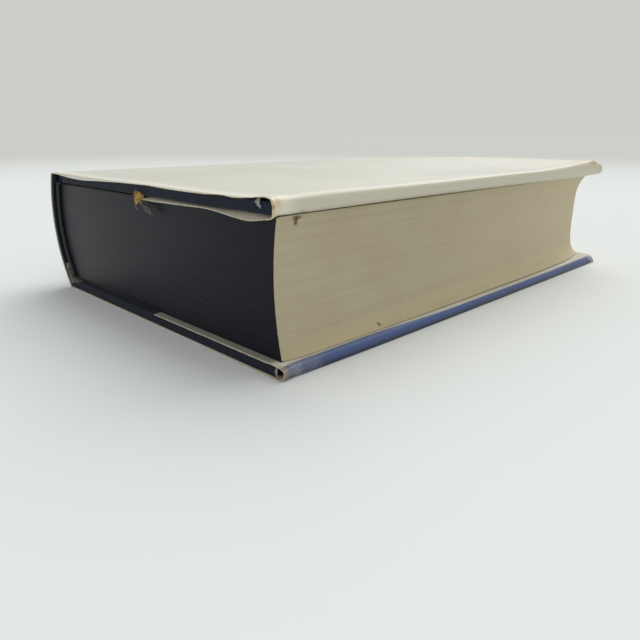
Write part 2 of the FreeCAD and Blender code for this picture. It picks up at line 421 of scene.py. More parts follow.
ink_and_sheen = toned(tree, lines.outputs["Gathering"], 0.55, 0.72, ink_and_sheen, srgb(27, 28, 46), 0.5)
ink_and_sheen = toned(tree, paper.outputs["Shade"], 0.60, 0.72, ink_and_sheen, srgb(64, 64, 72), 0.25)
# Painted reflection: the stain is made grey towards the spine, as the sheen of the pale room on the satin
# head.
ink_and_sheen = toned(tree, xyz.outputs["X"], -0.010, -0.078, ink_and_sheen, srgb(62, 62, 66), 0.32)
edge = math_node(tree, "ADD", xyz.outputs["Y"], math_node(tree, "MULTIPLY", lines.outputs["Leaf"], 0.0002))
stained = ramp(tree, edge, stain_depth - half_page, 0.7 * stain_depth - half_page)
dress(tree, shader, mix_colour(tree, stained, bare, ink_and_sheen), ramp(tree, stained, 0.0, 1.0, 0.85, 0.36),
      lines.outputs["Height"], 0.09, 0.00012)
shader.inputs["Specular IOR Level"].default_value = 0.15
text_block.data.materials.append(pages_material)
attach(text_block, "book_block")
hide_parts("text_block")


# The linings of the spine: open gauze glued over the rounded back, brown paper over it, and the card strip
# of the case. They lie inside, so the solids' own shapes stay and take their finish here.
gauze_material, tree, shader = plain_material("gauze")
place = add(tree, "TexCoord").outputs["Object"]
strands = []
for direction in ("Y", "Z"):
    wave = add(tree, "TexWave", {"Vector": place, "Scale": 420.0, "Distortion": 0.4, "Detail": 1.0},
               bands_direction=direction)
    strands.append(wave.outputs["Fac"])
mesh_mask = math_node(tree, "MAXIMUM", *strands)
open_weave = toned(tree, mesh_mask, 0.5, 0.9, srgb(150, 132, 96), srgb(222, 214, 192))
dress(tree, shader, open_weave, 0.9, mesh_mask, 0.6, 0.0002)


def board_like(name, pale, dark, tooth, cloud):
    """Pressed paper or board with fibre flecks."""
    made, tree, shader = plain_material(name)
    place = add(tree, "TexCoord").outputs["Object"]
    paper = use(tree, fibre, {"Place": place, "Tooth": tooth, "Cloud": cloud})
    flecked = toned(tree, paper.outputs["Shade"], 0.38, 0.62, dark, pale)
    dress(tree, shader, flecked, 0.9, paper.outputs["Height"], 0.3, 0.0002)
    return made


lining_material = board_like("brown_lining_paper", srgb(176, 148, 108), srgb(134, 104, 68), 1500.0, 120.0)
board_material = board_like("binders_board", srgb(160, 152, 138), srgb(112, 104, 92), 900.0, 200.0)
for node_name, made in (("spine_gauze", gauze_material), ("spine_lining", lining_material),
                        ("spine_stiffener", board_material), ("back_board", board_material),
                        ("front_board", board_material)):
    node = frame["nodes"][node_name]
    node.data.materials.clear()
    node.data.materials.append(made)


# The head and tail bands: a tape glued behind the ends of the pages, with a bead of dark thread wound over
# a cord. They follow the spine's round and stand a little over the pages.
bead_radius = 0.0009
bead_turns = 84
bead_sides = 14
slices_per_turn = 4
tape_depth = 0.0129
tape_thickness = 0.0004
tape_off_pages = 0.00002
tape_slices = (1, 12, 40)

band_material, tree, shader = plain_material("band_thread")
place = add(tree, "TexCoord").outputs["Object"]
strand = noise(tree, place, 1.0, 2.0, 0.6, (900, 900, 5000))
thread = toned(tree, strand, 0.3, 0.7, srgb(18, 24, 24), srgb(52, 60, 56))
dress(tree, shader, thread, 0.6, strand, 0.4, 0.0001)


def bow(radius, share):
    """Points along the spine's arc between the pages' lowest and highest leaf."""
    z = block_low.z + share * (block_high.z - block_low.z)
    return spine_at(radius, z), z


def pick(*pieces):
    """Selects these pieces alone, the last of them as the active one."""
    bpy.ops.object.select_all(action="DESELECT")
    for piece in pieces:
        piece.select_set(True)
    bpy.context.view_layer.objects.active = pieces[-1]


for end, node_name in ((-1, "head_band"), (1, "tail_band")):
    bpy.ops.object.select_all(action="DESELECT")
    bpy.ops.mesh.primitive_cylinder_add(vertices=bead_sides, radius=1, depth=1, end_fill_type="NGON")
    bead = bpy.context.object
    cut_edges(bead, 2, bead_turns * slices_per_turn - 1)
    unit = points_of(bead)
    share = unit[:, 2] + 0.5
    around = np.arctan2(unit[:, 1], unit[:, 0])
    wound = bead_radius * (0.93 + 0.07 * np.cos(2 * math.pi * bead_turns * share + around))
    core_x, core_z = bow(leaf_radius + tape_thickness / 2, share)
    slope = np.arctan2(core_z - arc_z, arc_x - core_x)
    out_x, out_z = -np.cos(slope), np.sin(slope)
    middle_y = end * (half_page + bead_radius)
    place_points(bead, np.stack([core_x + wound * np.cos(around) * out_x,
                                 middle_y + wound * np.sin(around) * end,
                                 core_z + wound * np.cos(around) * out_z], axis=1))
    tape = new_box("tape", tape_slices)
    unit = points_of(tape) + 0.5
    tape_x, tape_z = bow(leaf_radius + tape_off_pages, unit[:, 2])
    slope = np.arctan2(tape_z - arc_z, arc_x - tape_x)
    grow = (1 - unit[:, 0]) * (tape_thickness - 2 * tape_off_pages)
    place_points(tape, np.stack([tape_x - grow * np.cos(slope),
                                 end * (half_page + bead_radius - unit[:, 1] * tape_depth),
                                 tape_z + grow * np.sin(slope)], axis=1))
    pick(tape, bead)
    bpy.ops.object.join()
    bead.name = node_name + "_wound"
    bpy.ops.object.mode_set(mode="EDIT")
    bpy.ops.mesh.select_all(action="SELECT")
    bpy.ops.mesh.normals_make_consistent(inside=False)
    bpy.ops.object.mode_set(mode="OBJECT")
    bead.data.shade_smooth()
    bead.data.materials.append(band_material)
    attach(bead, "book_block")
    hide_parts(node_name)


# The endpapers: at each cover one sheet of stout off-white paper, folded at the joint. One half is glued
# down inside the board, over the cloth's turned-in edges, and the other is the free leaf, tipped to the
# pages.
hinge_x = frame["joints"][0]["pos_m"][0]
blend_reach = 0.004
blend_from = hinge_x - blend_reach
blend_to = hinge_x + blend_reach
sheet_of_endpaper = 0.0002
under_glue = 0.9
off_free_leaf = 0.00004
lap_on_pages = 0.0002
pastedown_low, pastedown_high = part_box("back_pastedown")
cloth_low, cloth_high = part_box("back_cover_cloth")
turn_in = 0.015
inner_x, inner_y = cloth_high.x - turn_in, cloth_high.y - turn_in
ridge = 0.000315
ridge_slope = 0.0012
ridge_clear = 0.0005
leaf_grid = (60, 80)


def rest_place(tree):
    """Where a point lies while the book is closed."""
    return add(tree, "Attribute", attribute_name="rest_place").outputs["Vector"]


endpaper_material, tree, shader = plain_material("endpaper")
place = rest_place(tree)
paper = use(tree, fibre, {"Place": place, "Tooth": 2400.0, "Cloud": 30.0})
xyz = add(tree, "SeparateXYZ", {0: place})
tone = toned(tree, paper.outputs["Shade"], 0.38, 0.62, srgb(216, 208, 186), srgb(226, 219, 200))
rim = math_node(tree, "ABSOLUTE", xyz.outputs["Y"])
tone = toned(tree, rim, 0.104, 0.1175, tone, srgb(202, 184, 146), 0.35)
tone = toned(tree, xyz.outputs["X"], 0.064, 0.079, tone, srgb(196, 176, 134), 0.45)
tone = toned(tree, xyz.outputs["X"], -0.060, -0.070, tone, srgb(192, 174, 136), 0.5)
fox = add(tree, "TexVoronoi", {"Vector": place, "Scale": 55.0})
tone = toned(tree, fox.outputs["Distance"], 0.10, 0.04, tone, srgb(178, 142, 92), 0.4)
# The head's stain on the endpapers: the cut edge is stained with the pages, and the run-in of some
# millimetres behind it is painted shade for the dark gap under the board.
tone = toned(tree, xyz.outputs["Y"], 0.0026 - half_page, 0.0003 - half_page, tone, srgb(16, 16, 24))
dress(tree, shader, tone, 0.8, paper.outputs["Height"], 0.15, 0.0001)


def new_grid(name, columns, rows):
    """A flat grid of one unit, and each point's column and row."""
    bpy.ops.object.select_all(action="DESELECT")
    bpy.ops.mesh.primitive_grid_add(x_subdivisions=columns, y_subdivisions=rows, size=1)
    made = bpy.context.object
    made.name = name
    unit = points_of(made) + 0.5
    return made, np.rint(unit[:, 0] * columns).astype(int), np.rint(unit[:, 1] * rows).astype(int)


def thicken(piece, thickness, inner=0, rim=0):
    """Gives a sheet its thickness on the side away from its face."""
    pick(piece)
    solid = piece.modifiers.new("thickness", "SOLIDIFY")
    solid.thickness = thickness
    solid.offset = -1
    solid.use_even_offset = False
    solid.material_offset = inner
    solid.material_offset_rim = rim
    bpy.ops.object.modifier_apply(modifier="thickness")


def keep_rest_place(piece):
    """Writes each point's place in the closed book, for patterns that stay on the sheet when it bends."""
    flat = points_of(piece).astype(np.float32).ravel()
    kept = piece.data.attributes.new("rest_place", "FLOAT_VECTOR", "POINT")
    kept.data.foreach_set("vector", flat)


def even(count, low, high):
    """Evenly spaced places."""
    return np.linspace(low, high, count)


def eased(count, low, high):
    """Places that crowd towards both ends."""
    return low + (high - low) * (1 - np.cos(np.linspace(0, math.pi, count))) / 2


def turned(z, side):
    """A level on the back cover's side, or its mirror on the front cover's."""
    return z if side > 0 else book_thickness - z


for side, cover in ((1, "back"), (-1, "front")):
    free_low, free_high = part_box(cover + "_free_endpaper")
    leaf_level = free_high.z if side > 0 else book_thickness - free_low.z
    columns = np.concatenate([
        even(4, blend_from - lap_on_pages, blend_from)[:-1],
        even(25, blend_from, blend_to),
        even(40, blend_to, inner_x - ridge_slope)[1:],
        even(5, inner_x - ridge_slope, inner_x)[1:],
        even(8, inner_x, pastedown_high.x)[1:],
    ])
    rows = np.concatenate([
        even(7, pastedown_low.y, -inner_y)[:-1],
        even(5, -inner_y, -inner_y + ridge_slope)[:-1],
        even(60, -inner_y + ridge_slope, inner_y - ridge_slope),
        even(5, inner_y - ridge_slope, inner_y)[1:],
        even(7, inner_y, pastedown_high.y)[1:],
    ])
    sheet, column, row = new_grid(cover + "_endpaper_glued", len(columns) - 1, len(rows) - 1)
    x = columns[column]
    y = rows[row] * side
    above = leaf_level + off_free_leaf
    level = above + (pastedown_low.z - above) * smooth_step(x, blend_from, blend_to)
    inward = np.minimum(inner_x - x, inner_y - np.abs(y))
    inward = np.minimum(inward, x - (blend_to + ridge_clear))
    level = level + ridge * smooth_step(inward, 0, ridge_slope)
    place_points(sheet, np.stack([x, -y, turned(level, side)], axis=1))
    thicken(sheet, sheet_of_endpaper * under_glue)
    sheet.data.shade_smooth()
    keep_rest_place(sheet)
    sheet.data.materials.append(endpaper_material)
    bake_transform(sheet)
    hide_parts(cover + "_pastedown")

    leaf, column, row = new_grid(cover + "_endpaper_free", *leaf_grid)
    spine_end = free_low.x + lap_on_pages
    x = spine_end + (free_high.x - spine_end) * eased(leaf_grid[0] + 1, 0, 1)[column]
    y = eased(leaf_grid[1] + 1, -1, 1)[row]
    edge_x = free_high.x - tail_inset * (y + 1) / 2 if side > 0 else foot_reach(y * half_page)
    x = spine_end + (edge_x - spine_end) * (x - spine_end) / (free_high.x - spine_end)
    level = free_high.z - settled(x) * (side < 0)
    place_points(leaf, np.stack([x, y * half_page, level], axis=1))
    thicken(leaf, sheet_of_endpaper)
    keep_rest_place(leaf)
    leaf.data.materials.append(endpaper_material)
    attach(leaf, "book_block")
    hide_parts(cover + "_free_endpaper")


# The case's cloth: one piece of navy book cloth glued over both boards and round the spine, pressed into
# the joints and turned in over every edge. It is made in two halves that meet at the spine's lower
# shoulder.
cloth_thickness = 0.00035
case_half = cloth_high.y
case_front = cloth_high.x
cloth_top = cloth_high.z
board_depth = cloth_high.z - cloth_low.z
jacket_paper = 0.00025
cloth_radius = spine_radius - jacket_paper
back_groove_depth = 0.0041
front_groove_depth = 0.0007
groove_land = 0.0008
groove_floor = 0.0032
edge_round = 0.00035
fold_over_joint = 0.00075
fold_over_spine = 0.00195
threads_per_metre = 1900.0
spine_columns, joint_columns, board_columns = 44, 34, 40
groove_softness = [0.1, 0.25, 0.3, 0.25, 0.1]
round_steps, wall_steps, strip_steps = 6, 3, 8
plain_rows = 88
fade_to_fold = 0.002

weave, ends_in, ends_out = group(
    "book_cloth_weave",
    [("Sheet", "vector", (0, 0, 0)), ("Threads", "value", 1900.0)],
    [("Height", "value")],
)
crossed = add(weave, "VectorMath", {0: ends_in.outputs["Sheet"], "Scale": ends_in.outputs["Threads"]},
              operation="SCALE")
axes = add(weave, "SeparateXYZ", {0: crossed.outputs[0]})
ridges = []
for axis in ("X", "Y"):
    wave = math_node(weave, "SINE", math_node(weave, "MULTIPLY", axes.outputs[axis], math.pi))
    ridges.append(math_node(weave, "ABSOLUTE", wave))
squares = [math_node(weave, "FLOOR", axes.outputs[axis]) for axis in ("X", "Y")]
over = math_node(weave, "ABSOLUTE", math_node(weave, "MODULO", math_node(weave, "ADD", *squares), 2.0))
warp_part = math_node(weave, "MULTIPLY", ridges[0], over)
weft_part = math_node(weave, "MULTIPLY", ridges[1], math_node(weave, "SUBTRACT", 1.0, over))
weave.links.new(math_node(weave, "ADD", warp_part, weft_part), ends_out.inputs["Height"])

cloth_material, tree, shader = plain_material("navy_book_cloth")
place = rest_place(tree)
flat_place = add(tree, "UVMap", uv_map="UVMap").outputs["UV"]
woven = use(tree, weave, {"Sheet": flat_place, "Threads": threads_per_metre})
slub = noise(tree, flat_place, 1.0, 3.0, 0.6, (90, 1500, 1))
slub_across = noise(tree, flat_place, 1.0, 3.0, 0.6, (1500, 90, 1))
thick_thread = math_node(tree, "MAXIMUM", slub, slub_across)
navy = toned(tree, woven.outputs["Height"], 0.15, 0.9, srgb(9, 13, 22), srgb(25, 34, 54))
navy = toned(tree, thick_thread, 0.58, 0.75, navy, srgb(40, 53, 82), 0.6)
navy = toned(tree, noise(tree, place, 900.0, 4.0), 0.68, 0.76, navy, srgb(90, 98, 108), 0.4)
dress(tree, shader, navy, 0.75, woven.outputs["Height"], 0.8, 0.00018)
shader.inputs["Specular IOR Level"].default_value = 0.2
shader.inputs["Sheen Weight"].default_value = 0.06


def flat_map(piece, across, along):
    """Lays the sheet's own measure, in metres, on its UV map."""
    layer = piece.data.uv_layers.active.data
    corner_points = np.zeros(len(piece.data.loops), int)
    piece.data.loops.foreach_get("vertex_index", corner_points)
    layer.foreach_set("uv", np.stack([across[corner_points], along[corner_points]], axis=1).ravel())


def measured(*path):
    """How far along a bent path each of its points lies."""
    return np.concatenate([[0], np.cumsum(np.sqrt(sum(np.diff(values) ** 2 for values in path)))])


def merge_doubles(piece):
    """Joins points that lie on each other and drops faces without area."""
    pick(piece)
    bpy.ops.object.mode_set(mode="EDIT")
    bpy.ops.mesh.select_all(action="SELECT")
    bpy.ops.mesh.remove_doubles(threshold=0.000002)
    bpy.ops.mesh.dissolve_degenerate(threshold=0.000002)
    bpy.ops.object.mode_set(mode="OBJECT")


# The way over a board's edge and in under the board, the same on three sides: how far each step lies inside
# the edge, how far it is tucked under, and how deep it lies, as two rounds and a share of the height
# between them
quarter = even(round_steps, 0, math.pi / 2)
rising, falling = edge_round * (1 - np.cos(quarter)), edge_round * np.sin(quarter)
below_top = wall_steps + round_steps + strip_steps
strip = even(strip_steps + 1, edge_round, turn_in)[1:]
lip_inside = np.concatenate([edge_round - falling, np.zeros(below_top)])
lip_tuck = np.concatenate([np.zeros(round_steps + wall_steps), rising, strip])
lip_top = np.concatenate([rising, np.full(below_top, edge_round)])
lip_share = np.concatenate([np.zeros(round_steps), even(wall_steps + 2, 0, 1)[1:-1],
                            np.ones(round_steps + strip_steps)])
lip_bottom = np.concatenate([np.zeros(round_steps + wall_steps), falling, np.full(strip_steps, edge_round)])

lip_inward = lip_inside + lip_tuck
plain_y = even(plain_rows + 2, -case_half + edge_round, case_half - edge_round)[1:-1]
row_y = np.concatenate([-(case_half - lip_inward)[::-1], plain_y, case_half - lip_inward])
row_tuck, row_top, row_share, row_bottom = (
    np.concatenate([part[::-1], np.zeros(plain_rows), part])
    for part in (lip_tuck, lip_top, lip_share, lip_bottom))

for side, cover in ((1, "back"), (-1, "front")):
    groove = back_groove_depth if side > 0 else front_groove_depth
    spine_z = even(spine_columns, book_thickness - cloth_top, cloth_top)
    spine_z = spine_z if side > 0 else spine_z[-1:]
    spine_x = spine_at(cloth_radius, turned(spine_z, side))
    land = hinge_x - groove_land
    shoulder = spine_x[-1] + groove_land
    middle = (land + shoulder) / 2
    floor_half = min(groove_floor, land - shoulder) / 2
    joint_x = even(joint_columns, shoulder, hinge_x)
    joint_z = np.interp(joint_x, [shoulder, middle - floor_half, middle + floor_half, land, hinge_x],
                        [cloth_top, cloth_top - groove, cloth_top - groove, cloth_top, cloth_top])
    joint_z = np.pad(joint_z, len(groove_softness) // 2, mode="edge")
    joint_z = np.convolve(joint_z, groove_softness, mode="valid")
    board_x = even(board_columns, hinge_x, case_front - edge_round)[1:-1]
    col_x = np.concatenate([spine_x, joint_x, board_x, case_front - lip_inward])
    col_z = np.concatenate([spine_z, joint_z, np.full(len(board_x) + len(lip_inside), cloth_top)])
    plain = len(spine_x) + len(joint_x) + len(board_x)
    col_tuck, col_top, col_share, col_bottom = (
        np.concatenate([np.zeros(plain), part]) for part in (lip_tuck, lip_top, lip_share, lip_bottom))
    on_board = np.clip((col_x - land) / fade_to_fold, 0, 1)
    on_spine = np.clip((shoulder - col_x) / fade_to_fold, 0, 1)
    depth = (fold_over_joint + on_board * (board_depth - fold_over_joint)
             + on_spine * (fold_over_spine - fold_over_joint))
    slope_x, slope_z = np.gradient(col_x), np.gradient(col_z)
    steep = np.hypot(slope_x, slope_z)
    steep[plain:] = 1
    before_edge = np.arange(len(col_x)) < plain
    in_x = np.where(before_edge, slope_z / steep, 0)
    in_z = np.where(before_edge, -slope_x / steep, -1)

    sheet, column, row = new_grid(cover + "_case_cloth", len(col_x) - 1, len(row_y) - 1)
    between = depth[column] - 2 * edge_round
    down = np.maximum(row_top[row] + row_share[row] * between + row_bottom[row],
                      col_top[column] + col_share[column] * between + col_bottom[column])
    x = np.minimum(col_x[column], case_front - row_tuck[row]) + down * in_x[column]
    y = np.sign(row_y[row]) * np.minimum(np.abs(row_y[row]), case_half - col_tuck[column])
    z = col_z[column] + down * in_z[column]
    across = measured(col_x, col_z, col_share * board_depth)
    along = measured(row_y, row_share * board_depth)
    flat_map(sheet, across[column], along[row])
    place_points(sheet, np.stack([x, y * side, turned(z, side)], axis=1))
    merge_doubles(sheet)
    thicken(sheet, cloth_thickness * under_glue)
    sheet.data.shade_smooth()
    keep_rest_place(sheet)
    sheet.data.materials.append(cloth_material)
    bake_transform(sheet)
    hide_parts(cover + "_cover_cloth", *(["spine_cloth"] if side > 0 else []))


# The jacket: one sheet of coated paper wrapped round the case, with a flap folded in at each cover. The
# back panel is cream, the front and the spine are blue. It is made in two halves that meet at the spine's
# lower shoulder.
jacket_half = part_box("jacket_back_panel")[1].y
fold_tip = half_width
flap_level = 0.04955
front_flap_level = 0.04958
back_flap_end = fold_tip - 0.077
front_flap_end = fold_tip - 0.075
head_margin = 0.003
margin_rows = 20
body_rows = 92
panel_columns, fold_columns, flap_columns = 64, 28, 40
crowding = 1.35
column_pitch = 0.0018
back_panel_end = 0.0790
front_panel_end = 0.0834
fold_shares = even(8, 0, 1)

outside_material, tree, shader = plain_material("jacket_coated_paper")
place = rest_place(tree)
printed = add(tree, "Attribute", attribute_name="printed_blue").outputs["Fac"]
xyz = add(tree, "SeparateXYZ", {0: place})
paper = use(tree, fibre, {"Place": place, "Tooth": 900.0, "Cloud": 14.0})
cream = toned(tree, paper.outputs["Shade"], 0.36, 0.64, srgb(200, 198, 183), srgb(208, 206, 192))
cream = toned(tree, xyz.outputs["Y"], 0.085, 0.121, cream, srgb(206, 196, 156), 0.35)
cream = toned(tree, xyz.outputs["X"], 0.0795, 0.0825, cream, srgb(200, 192, 166), 0.6)
# Painted highlight: the cream is made lighter along the head edge, as the light caught where the margin bends
# down.
cream = toned(tree, xyz.outputs["Y"], -0.1090, -0.1195, cream, srgb(232, 229, 212), 0.9)
on_front = ramp(tree, xyz.outputs["Z"], 0.010, 0.006)
# Painted shade: the cream of the front jacket, on the fold's top and the flap, is darkened brownish, more
# towards the tail, as the shadow line under the pages.
painted_shadow_line = math_node(tree, "MULTIPLY", on_front, ramp(tree, xyz.outputs["Y"], -0.10, 0.05, 0.15, 0.75))
cream = mix_colour(tree, painted_shadow_line, cream, srgb(160, 150, 126))
# Painted shade: the front flap's margin beyond the pages' head is greyed, as the shadow under the head edge.
shaded_flap_margin = math_node(tree, "MULTIPLY", on_front, 0.9)
for axis, low, high in (("Y", -0.1160, -0.1170), ("Y", -0.1204, -0.1198), ("X", 0.080, 0.076)):
    shaded_flap_margin = math_node(tree, "MULTIPLY", shaded_flap_margin, ramp(tree, xyz.outputs[axis], low, high))
cream = mix_colour(tree, shaded_flap_margin, cream, srgb(146, 142, 130))
blue = toned(tree, paper.outputs["Shade"], 0.36, 0.64, srgb(46, 67, 118), srgb(56, 79, 134))
scuff = noise(tree, place, 1.0, 4.0, 0.65, (300, 40, 300))
blue = toned(tree, scuff, 0.60, 0.74, blue, srgb(128, 142, 172), 0.3)
# Painted shade: the blue at the foot of the front fold is darkened, as the shaded underside of the crease.
painted_underside_shade = ramp(tree, xyz.outputs["Z"], 0.0024, 0.0004)
painted_underside_shade = math_node(tree, "MULTIPLY", painted_underside_shade, ramp(tree, xyz.outputs["X"], 0.080, 0.083))
blue = mix_colour(tree, painted_underside_shade, blue, srgb(30, 38, 54))
tone = toned(tree, printed, 0.3, 0.7, cream, blue)
marks = [((0.0808, -0.1195, 0.0532), (0.0046, 0.0040, 0.0040), 0.5, 0.8, (228, 202, 164), 0.9),
         ((0.0812, -0.1203, 0.0524), (0.0016, 0.0012, 0.0010), 0.6, 0.8, (176, 132, 90), 0.85),
         ((0.0762, -0.1204, 0.0549), (0.0014, 0.0008, 0.0010), 0.5, 0.7, (150, 106, 82), 0.85),
         ((0.0800, -0.1200, 0.0497), (0.0030, 0.0030, 0.0014), 0.6, 0.8, (190, 168, 130), 0.7),
         ((0.0820, -0.1100, 0.0500), (0.0024, 0.0030, 0.0008), 0.6, 0.7, (140, 116, 82), 0.5),
         ((0.0795, 0.1080, 0.0570), (0.0066, 0.0085, 0.0040), 0.25, 0.95, (178, 156, 100), 0.85),
         ((0.0790, 0.0920, 0.0570), (0.0050, 0.0180, 0.0030), 0.5, 0.9, (204, 188, 142), 0.8),
         ((0.0800, 0.1170, 0.0540), (0.0060, 0.0050, 0.0060), 0.6, 0.8, (190, 178, 148), 0.7),
         ((0.0815, 0.1190, 0.0527), (0.0012, 0.0012, 0.0010), 0.4, 0.6, (108, 94, 76), 0.85),
         ((0.0845, -0.1085, 0.0025), (0.0050, 0.0080, 0.0060), 0.4, 0.95, (106, 114, 138), 0.6),
         ((0.0845, -0.1150, 0.0025), (0.0050, 0.0046, 0.0060), 0.5, 0.9, (136, 136, 142), 0.75),
         ((0.0845, -0.1198, 0.0025), (0.0050, 0.0030, 0.0060), 0.3, 0.8, (150, 130, 116), 0.85),
         ((0.0840, 0.1180, 0.0025), (0.0040, 0.0040, 0.0050), 0.7, 0.8, (166, 168, 178), 0.7),
         ((-0.0775, -0.1185, 0.0530), (0.0030, 0.0030, 0.0030), 0.8, 0.6, (150, 112, 72), 0.8),
         ((-0.0770, 0.1185, 0.0010), (0.0040, 0.0030, 0.0040), 0.8, 0.6, (170, 168, 172), 0.7)]
for centre, size, ragged, softness, colour, strength in marks:
    mark = use(tree, patch, {"Place": place, "Centre": centre, "Reach": size, "Ragged": ragged,
                             "Softness": softness, "Grain": 1000.0})
    tone = mix_colour(tree, math_node(tree, "MULTIPLY", mark.outputs["Mask"], strength), tone, srgb(*colour))
edge_rim = ramp(tree, math_node(tree, "ABSOLUTE", xyz.outputs["Y"]), 0.1190, 0.1205, 0.0, 0.5)
edge_rim = math_node(tree, "MULTIPLY", edge_rim, ramp(tree, paper.outputs["Shade"], 0.46, 0.58))
tone = mix_colour(tree, edge_rim, tone, srgb(196, 178, 138))
dress(tree, shader, tone, ramp(tree, paper.outputs["Shade"], 0.35, 0.65, 0.32, 0.44),
      paper.outputs["Height"], 0.06, 0.0002)
shader.inputs["Coat Weight"].default_value = 0.1
shader.inputs["Coat Roughness"].default_value = 0.25

inside_material, tree, shader = plain_material("jacket_plain_side")
place = rest_place(tree)
paper = use(tree, fibre, {"Place": place, "Tooth": 1400.0, "Cloud": 22.0})
plain_side = toned(tree, paper.outputs["Shade"], 0.38, 0.62, srgb(206, 198, 176), srgb(220, 213, 194))
dress(tree, shader, plain_side, 0.75, paper.outputs["Height"], 0.12, 0.0001)

rim_material, tree, shader = plain_material("jacket_cut_edge")
place = rest_place(tree)
rag = ramp(tree, noise(tree, place, 600.0, 4.0), 0.40, 0.62)
bared = mix_colour(tree, rag, srgb(204, 188, 148), srgb(232, 226, 206))
aged = mix_colour(tree, rag, srgb(84, 66, 44), srgb(150, 126, 90))
across_book = add(tree, "SeparateXYZ", {0: place}).outputs["X"]
dress(tree, shader, toned(tree, across_book, -0.062, -0.074, bared, aged), 0.85)


def bell(values, middle, width):
    """A smooth hump of height one."""
    return np.exp(-((values - middle) / width) ** 2)


def jacket_half_sheet(name, side, on_round, panel_end, flap_end, shape_panel, shape_fold, shape_flap):
    """A grid shaped round the spine, over the panel, round the fold and back along the flap."""
    total = on_round + panel_columns + fold_columns + flap_columns
    rest_of_rows = np.sin(even(body_rows, 0, math.pi / 2))
    margin_end = head_margin - jacket_half
    rows = np.concatenate([even(margin_rows + 1, -jacket_half, margin_end)[:-1],
                           margin_end + (jacket_half - margin_end) * rest_of_rows])
    sheet, column, row = new_grid(name, total, len(rows) - 1)
    y = rows[row]
    shoulder = spine_at(spine_radius, turned(book_thickness, side))
    arc_level = book_thickness * np.clip(column / max(on_round, 1), 0, 1)
    share = 1 - (1 - np.clip((column - on_round) / panel_columns, 0, 1)) ** crowding
    panel_x = shoulder + (panel_end - shoulder) * share
    panel_y, panel_z = shape_panel(panel_x, y)
    fold_x, fold_z = shape_fold(np.clip((column - on_round - panel_columns) / fold_columns, 0, 1), y)
    flap_from = shape_fold(np.ones(len(y)), y)[0]
    flap_share = np.clip((column - (total - flap_columns)) / flap_columns, 0, 1)
    flap_x = flap_from + (flap_end - flap_from) * flap_share
    where = [column < on_round, column <= on_round + panel_columns, column <= total - flap_columns]
    x = np.select(where, [spine_at(spine_radius, arc_level), panel_x, fold_x], flap_x)
    y = np.select(where, [y, panel_y, y], y)
    z = np.select(where, [arc_level, panel_z, fold_z], shape_flap(flap_x, rows[row]))
    return sheet, column, row, x, y, z


def finish_jacket(sheet, side, column, x, y, z, blue):
    """Thickens half of the jacket, keeps it above the table, and gives it its three faces."""
    flat_map(sheet, column * column_pitch, y)
    place_points(sheet, np.stack([x, y * side, turned(z, side)], axis=1))
    printed = sheet.data.attributes.new("printed_blue", "FLOAT", "POINT")
    printed.data.foreach_set("value", blue.astype(np.float32))
    for made in (outside_material, inside_material, rim_material):
        sheet.data.materials.append(made)
    thicken(sheet, jacket_paper, inner=1, rim=2)
    points = points_of(sheet)
    points[:, 2] = np.maximum(points[:, 2], 0)
    place_points(sheet, points)
    sheet.data.shade_smooth()
    keep_rest_place(sheet)
    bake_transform(sheet)


# Past the board's head the back panel's margin bends down over the cloth and hangs. How far it hangs
# changes along the edge, and near the fold it stays up.
bend_centre = case_half - edge_round
off_cloth = 0.00002
bend_radius = edge_round + jacket_paper + off_cloth
margin_start = jacket_half - head_margin
hang_places = [-0.072, -0.060, -0.046, -0.0265, -0.009, 0.014, 0.027,
               0.040, 0.0485, 0.0566, 0.064, 0.070, 0.080]
hangs = [0.0004, 0.0014, 0.0017, 0.0010, 0.0006, 0.0002, 0.0005,
         0.0004, 0.0003, 0.0, 0.0003, 0.0, 0.0]
roll_place, roll_width = 0.0780, 0.0060
roll_at_head, roll_more = 0.0009, 0.0005
bow_from, bow_over, bow_power = 0.040, 0.0805, 1.6
bow_height, bow_more = 0.0028, 0.0006
crush_depth = 0.0030
slack_height = 0.00010


def back_panel(x, y):
    """The slack back panel: a roll beside the fold, a bow that grows towards the tail, a hanging margin."""
    roll = (roll_at_head + roll_more * smooth_step(y, -0.1205, -0.095)) * bell(x, roll_place, roll_width)
    bow_share = np.clip((y - bow_from) / bow_over, 0, 1) ** bow_power
    arch = smooth_step(x, -0.074, 0.015) * (bow_height + bow_more * bell(x, roll_place, 2 * roll_width))
    crushed = crush_depth * smooth_step(y, 0.109, 0.1205) * smooth_step(x, 0.068, 0.079)
    waves = 1 + np.sin(x * 95 + 1.1) * np.sin(y * 46 + 0.6)
    slack = slack_height * waves * smooth_step(x, -0.0776, -0.06)
    drop = np.clip(through(x, hang_places, hangs), 0, None)
    bent = smooth_step(drop, 0, 0.0007)
    angle = bent * math.pi / 2
    reach = (jacket_half - bend_centre) * (1 - bent) + bent * (
        bend_radius * math.pi / 2 + np.maximum(drop - bend_radius, 0))
    along = np.clip((-y - margin_start) / head_margin, 0, 1) * (bend_centre - margin_start + reach)
    past = np.maximum(along - (bend_centre - margin_start), 0)
    turn = np.clip(past / bend_radius, 0, angle)
    rest = np.maximum(past - bend_radius * angle, 0)
    out = bend_centre + bend_radius * np.sin(turn) + rest * np.cos(angle)
    down = bend_radius * (1 - np.cos(turn)) + rest * np.sin(angle)
    hung_y = np.where(past > 0, -out, np.where(-y > margin_start, -margin_start - along, y))
    return hung_y, book_thickness + roll + bow_share * arch + slack - crushed - down


